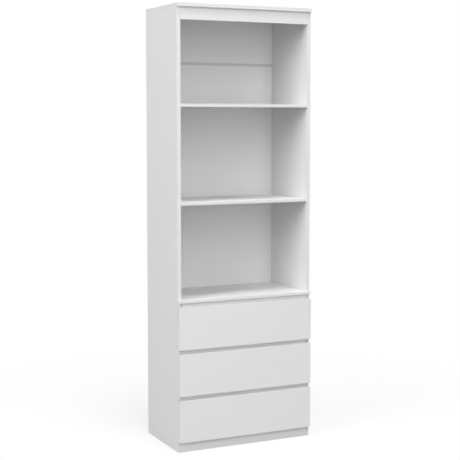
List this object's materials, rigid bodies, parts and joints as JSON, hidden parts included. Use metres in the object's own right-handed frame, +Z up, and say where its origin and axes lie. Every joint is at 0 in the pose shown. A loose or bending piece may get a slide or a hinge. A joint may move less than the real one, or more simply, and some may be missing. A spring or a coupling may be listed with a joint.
{
  "type": "bookcase with bottom drawers",
  "caption": "Tall narrow white bookcase with open niches above stacked handle-less drawers that slide on roller runners and open by finger gaps.",
  "frame": {"origin": "on the floor, in the middle of the rectangle that the bookcase covers", "axes": "+X to the right as seen from the front, +Y to the back (drawers open towards -Y), +Z up"},
  "size_m": [0.6, 0.3454, 1.795],
  "materials": {
    "white_board": "white melamine-faced chipboard with edging, fine satin texture",
    "white_back_sheet": "hardboard with satin white lacquer on the inside face, bare on the other",
    "white_strip": "extruded plastic, satin",
    "white_runner_steel": "epoxy powder coat over rolled steel",
    "nylon_roller": "moulded nylon",
    "zinc_fitting": "bright zinc plate",
    "beech_dowel": "plain beech"
  },
  "bodies": {
    "carcass": {"left_side_panel": "white_board", "right_side_panel": "white_board", "top_panel": "white_board", "top_front_rail": "white_board", "upper_shelf": "white_board", "lower_shelf": "white_board", "middle_board": "white_board", "bottom_panel": "white_board", "plinth": "white_board", "lower_back_panel": "white_back_sheet", "upper_back_panel": "white_back_sheet", "back_joint_strip": "white_strip", "left_wall_bracket": "zinc_fitting", "right_wall_bracket": "zinc_fitting", "wall_bracket_screws": "zinc_fitting", "cam_discs": "zinc_fitting", "cam_bolts": "zinc_fitting", "dowels": "beech_dowel", "cabinet_runner_screws": "zinc_fitting", "bottom_left_cabinet_runner": "white_runner_steel", "bottom_right_cabinet_runner": "white_runner_steel", "middle_left_cabinet_runner": "white_runner_steel", "middle_right_cabinet_runner": "white_runner_steel", "top_left_cabinet_runner": "white_runner_steel", "top_right_cabinet_runner": "white_runner_steel"},
    "bottom_drawer": {"bottom_drawer_front": "white_board", "bottom_drawer_inner_front": "white_board", "bottom_drawer_left_side": "white_board", "bottom_drawer_right_side": "white_board", "bottom_drawer_back": "white_board", "bottom_drawer_bottom": "white_back_sheet", "bottom_drawer_left_runner": "white_runner_steel", "bottom_drawer_right_runner": "white_runner_steel", "bottom_drawer_screws": "zinc_fitting"},
    "bottom_cabinet_rollers": {"bottom_cabinet_rollers": "nylon_roller"},
    "bottom_drawer_rollers": {"bottom_drawer_rollers": "nylon_roller"},
    "middle_drawer": {"middle_drawer_front": "white_board", "middle_drawer_inner_front": "white_board", "middle_drawer_left_side": "white_board", "middle_drawer_right_side": "white_board", "middle_drawer_back": "white_board", "middle_drawer_bottom": "white_back_sheet", "middle_drawer_left_runner": "white_runner_steel", "middle_drawer_right_runner": "white_runner_steel", "middle_drawer_screws": "zinc_fitting"},
    "middle_cabinet_rollers": {"middle_cabinet_rollers": "nylon_roller"},
    "middle_drawer_rollers": {"middle_drawer_rollers": "nylon_roller"},
    "top_drawer": {"top_drawer_front": "white_board", "top_drawer_inner_front": "white_board", "top_drawer_left_side": "white_board", "top_drawer_right_side": "white_board", "top_drawer_back": "white_board", "top_drawer_bottom": "white_back_sheet", "top_drawer_left_runner": "white_runner_steel", "top_drawer_right_runner": "white_runner_steel", "top_drawer_screws": "zinc_fitting"},
    "top_cabinet_rollers": {"top_cabinet_rollers": "nylon_roller"},
    "top_drawer_rollers": {"top_drawer_rollers": "nylon_roller"}
  },
  "joints": [
    {"name": "bottom_drawer_slide", "type": "slide", "parent": "carcass", "child": "bottom_drawer", "axis": [0, -1, 0], "range_m": [0, 0.185]},
    {"name": "bottom_cabinet_rollers_spin", "type": "hinge", "parent": "carcass", "child": "bottom_cabinet_rollers", "pos_m": [0, -0.13025, 0.0752], "axis": [1, 0, 0], "continuous": true},
    {"name": "bottom_drawer_rollers_spin", "type": "hinge", "parent": "bottom_drawer", "child": "bottom_drawer_rollers", "pos_m": [0, 0.09725, 0.073], "axis": [1, 0, 0], "continuous": true},
    {"name": "middle_drawer_slide", "type": "slide", "parent": "carcass", "child": "middle_drawer", "axis": [0, -1, 0], "range_m": [0, 0.185]},
    {"name": "middle_cabinet_rollers_spin", "type": "hinge", "parent": "carcass", "child": "middle_cabinet_rollers", "pos_m": [0, -0.13025, 0.2637], "axis": [1, 0, 0], "continuous": true},
    {"name": "middle_drawer_rollers_spin", "type": "hinge", "parent": "middle_drawer", "child": "middle_drawer_rollers", "pos_m": [0, 0.09725, 0.2615], "axis": [1, 0, 0], "continuous": true},
    {"name": "top_drawer_slide", "type": "slide", "parent": "carcass", "child": "top_drawer", "axis": [0, -1, 0], "range_m": [0, 0.185]},
    {"name": "top_cabinet_rollers_spin", "type": "hinge", "parent": "carcass", "child": "top_cabinet_rollers", "pos_m": [0, -0.13025, 0.4522], "axis": [1, 0, 0], "continuous": true},
    {"name": "top_drawer_rollers_spin", "type": "hinge", "parent": "top_drawer", "child": "top_drawer_rollers", "pos_m": [0, 0.09725, 0.45], "axis": [1, 0, 0], "continuous": true}
  ],
  "couplings": [
    {"joint": "bottom_cabinet_rollers_spin", "follows": "bottom_drawer_slide", "rad_per_m": 117.65},
    {"joint": "bottom_drawer_rollers_spin", "follows": "bottom_drawer_slide", "rad_per_m": 117.65},
    {"joint": "middle_cabinet_rollers_spin", "follows": "middle_drawer_slide", "rad_per_m": 117.65},
    {"joint": "middle_drawer_rollers_spin", "follows": "middle_drawer_slide", "rad_per_m": 117.65},
    {"joint": "top_cabinet_rollers_spin", "follows": "top_drawer_slide", "rad_per_m": 117.65},
    {"joint": "top_drawer_rollers_spin", "follows": "top_drawer_slide", "rad_per_m": 117.65}
  ]
}
